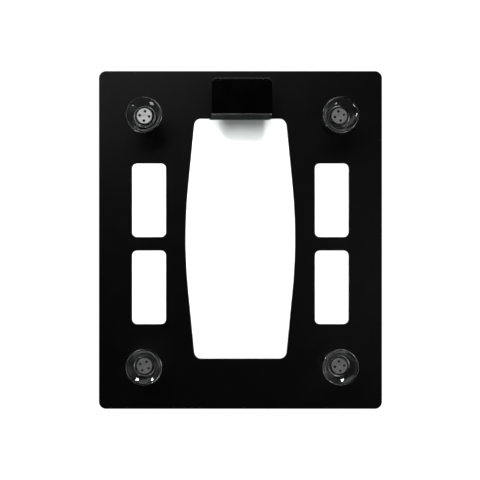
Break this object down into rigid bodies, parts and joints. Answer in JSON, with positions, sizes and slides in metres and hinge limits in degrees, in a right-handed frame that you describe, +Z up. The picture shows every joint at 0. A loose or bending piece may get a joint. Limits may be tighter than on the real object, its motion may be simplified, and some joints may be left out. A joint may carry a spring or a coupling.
{
  "type": "bathroom scale",
  "caption": "Flat digital bathroom scale: a glass platform on a windowed black tray, clear cup feet on load cells and a display box below the toe end.",
  "frame": {"origin": "on the floor under the middle of the platform", "axes": "+Z up, +Y towards the display end, which a user's toes face, +X to that user's right"},
  "size_m": [0.3, 0.358, 0.036],
  "materials": {
    "tempered_glass": "polished, clear",
    "foam_tape": "matt black foam",
    "black_plastic": "fine satin texture",
    "clear_pvc": "clear, smooth",
    "steel_disc": "brushed",
    "steel_stud": "zinc plated",
    "spring_steel": "nickel plated",
    "white_nylon": "moulded",
    "cell_alloy": "stamped, nickel plated",
    "spacer_plastic": "moulded",
    "gauge_film": "polyimide film",
    "lead_jacket": "flat lead jacket",
    "wire_jacket": "insulated wire",
    "box_plastic": "smooth black",
    "screw_steel": "black zinc",
    "cell_can": "printed sleeve, plain",
    "board_laminate": "solder mask",
    "contact_rubber": "elastomer strip",
    "lcd_glass": "reflective LCD"
  },
  "bodies": {
    "platform": {"glass_platform": "tempered_glass", "bonding_gasket": "foam_tape", "tray": "black_plastic", "foot_collars": "black_plastic", "door_pin": "steel_stud", "battery_springs": "spring_steel", "battery_plates": "spring_steel", "foot_bushes": "white_nylon", "lcd_holder": "white_nylon", "cell_toe_right": "cell_alloy", "cell_toe_left": "cell_alloy", "cell_heel_right": "cell_alloy", "cell_heel_left": "cell_alloy", "cell_spacers": "spacer_plastic", "unit_switch": "spacer_plastic", "board_parts": "spacer_plastic", "strain_gauges": "gauge_film", "lead_toe_right": "lead_jacket", "lead_toe_left": "lead_jacket", "lead_heel_right": "lead_jacket", "lead_heel_left": "lead_jacket", "battery_wires": "wire_jacket", "display_housing": "box_plastic", "lcd_bezel": "box_plastic", "housing_screws": "screw_steel", "board_screws": "screw_steel", "battery_front": "cell_can", "battery_rear": "cell_can", "circuit_board": "board_laminate", "contact_strips": "contact_rubber", "lcd_panel": "lcd_glass"},
    "foot_toe_right": {"cup_toe_right": "clear_pvc", "disc_toe_right": "steel_disc", "stud_toe_right": "steel_stud", "clip_toe_right": "spring_steel"},
    "foot_toe_left": {"cup_toe_left": "clear_pvc", "disc_toe_left": "steel_disc", "stud_toe_left": "steel_stud", "clip_toe_left": "spring_steel"},
    "foot_heel_right": {"cup_heel_right": "clear_pvc", "disc_heel_right": "steel_disc", "stud_heel_right": "steel_stud", "clip_heel_right": "spring_steel"},
    "foot_heel_left": {"cup_heel_left": "clear_pvc", "disc_heel_left": "steel_disc", "stud_heel_left": "steel_stud", "clip_heel_left": "spring_steel"},
    "door": {"battery_door": "box_plastic"},
    "button": {"unit_button": "box_plastic"}
  },
  "joints": [
    {"name": "foot_toe_right_drop", "type": "slide", "parent": "platform", "child": "foot_toe_right", "axis": [0, 0, 1], "range_m": [-0.0004, 0]},
    {"name": "foot_toe_left_drop", "type": "slide", "parent": "platform", "child": "foot_toe_left", "axis": [0, 0, 1], "range_m": [-0.0004, 0]},
    {"name": "foot_heel_right_drop", "type": "slide", "parent": "platform", "child": "foot_heel_right", "axis": [0, 0, 1], "range_m": [-0.0004, 0]},
    {"name": "foot_heel_left_drop", "type": "slide", "parent": "platform", "child": "foot_heel_left", "axis": [0, 0, 1], "range_m": [-0.0004, 0]},
    {"name": "battery_door_hinge", "type": "hinge", "parent": "platform", "child": "door", "pos_m": [0, 0.1632, 0.0042], "axis": [1, 0, 0], "range_deg": [0, 100]},
    {"name": "unit_button_press", "type": "slide", "parent": "platform", "child": "button", "axis": [0, -1, 0], "range_m": [0, 0.0006], "stiffness_N_per_m": 800}
  ]
}
